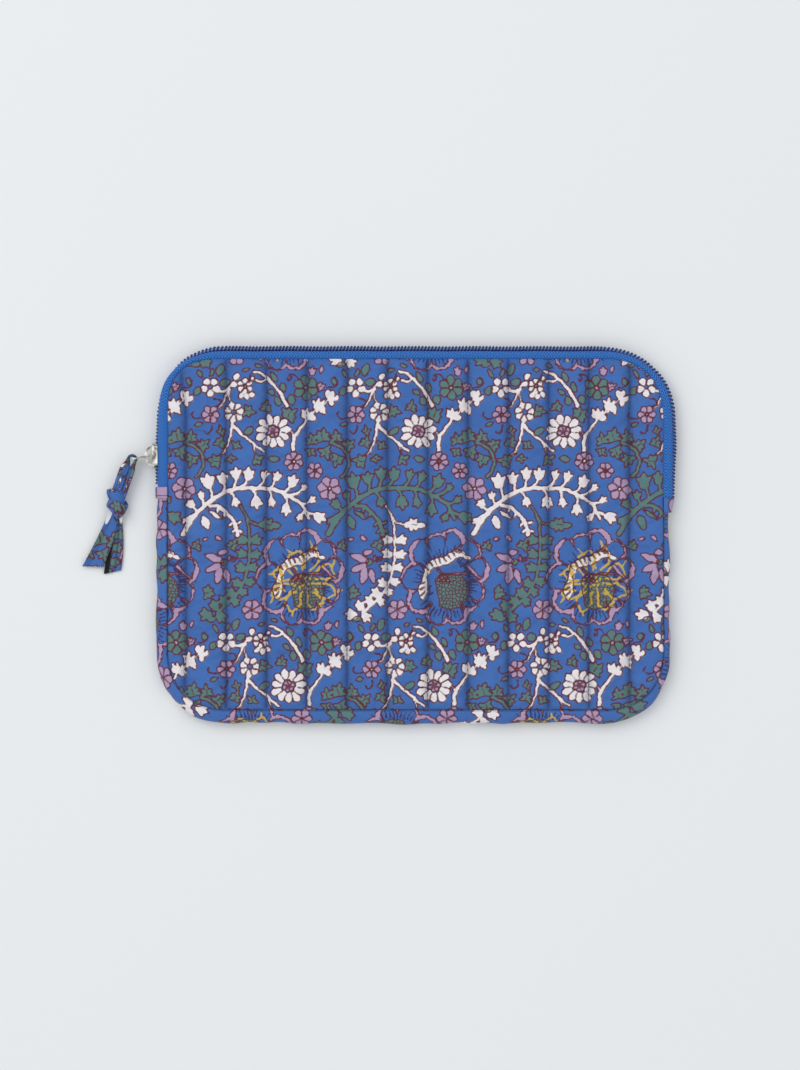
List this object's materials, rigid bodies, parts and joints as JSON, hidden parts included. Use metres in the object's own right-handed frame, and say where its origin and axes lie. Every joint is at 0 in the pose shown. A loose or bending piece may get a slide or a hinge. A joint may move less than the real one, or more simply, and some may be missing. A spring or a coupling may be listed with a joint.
{
  "type": "laptop sleeve",
  "caption": "Quilted cotton laptop sleeve with padded panels, a bulged gusset, a coil zip round its top edge, and a slider with a knotted fabric pull.",
  "frame": {"origin": "centre of the back face, on the surface the sleeve lies on", "axes": "+X across the sleeve to the right as seen from the front, +Y towards the zipped top edge, +Z out of the front panel"},
  "size_m": [0.3788, 0.2386, 0.0136],
  "materials": {
    "printed_cotton": "printed plain-weave cotton, matt",
    "lining_cotton": "plain-weave cotton, matt",
    "wadding": "needled polyester wadding",
    "binding": "folded bias tape, matt",
    "thread": "sewing thread",
    "zip_tape": "herringbone woven tape",
    "zip_coil": "moulded nylon coil",
    "zip_metal": "plated die-cast zinc"
  },
  "bodies": {
    "shell": {"back_cover": "printed_cotton", "back_quilt_stitching": "thread", "back_wadding": "wadding", "back_lining": "lining_cotton", "back_seam_binding": "binding", "front_cover_lower": "printed_cotton", "front_quilt_stitching_lower": "thread", "front_wadding_lower": "wadding", "front_lining_lower": "lining_cotton", "front_seam_binding_lower": "binding", "gusset_strip": "printed_cotton", "gusset_lining": "lining_cotton", "zip_end_tab_left": "printed_cotton", "zip_end_tab_right": "printed_cotton", "zip_tape_back": "zip_tape", "zip_coil_back": "zip_coil", "zip_tape_front_legs": "zip_tape", "zip_coil_front_legs": "zip_coil"},
    "mouth_flap": {"front_cover_upper": "printed_cotton", "front_quilt_stitching_upper": "thread", "front_wadding_upper": "wadding", "front_lining_upper": "lining_cotton", "front_seam_binding_upper": "binding", "zip_tape_front_upper": "zip_tape", "zip_coil_front_upper": "zip_coil"},
    "slider": {"slider_body": "zip_metal"},
    "pull": {"pull_tab": "zip_metal"},
    "tassel": {"pull_strip": "printed_cotton"}
  },
  "joints": [
    {"name": "mouth_open", "type": "hinge", "parent": "shell", "child": "mouth_flap", "pos_m": [0, 0.072, 0.0136], "axis": [1, 0, 0], "range_deg": [0, 75]},
    {"name": "slider_travel", "type": "slide", "parent": "shell", "child": "slider", "axis": [0, 1, 0], "range_m": [-0.011, 0.013]},
    {"name": "pull_swing", "type": "hinge", "parent": "slider", "child": "pull", "pos_m": [-0.1702, 0.0499, 0.0068], "axis": [0, 0, 1], "range_deg": [-70, 8]},
    {"name": "tassel_swing", "type": "hinge", "parent": "pull", "child": "tassel", "pos_m": [-0.18057, 0.0477, 0.0068], "axis": [0, 0, 1], "range_deg": [-60, 6]}
  ]
}
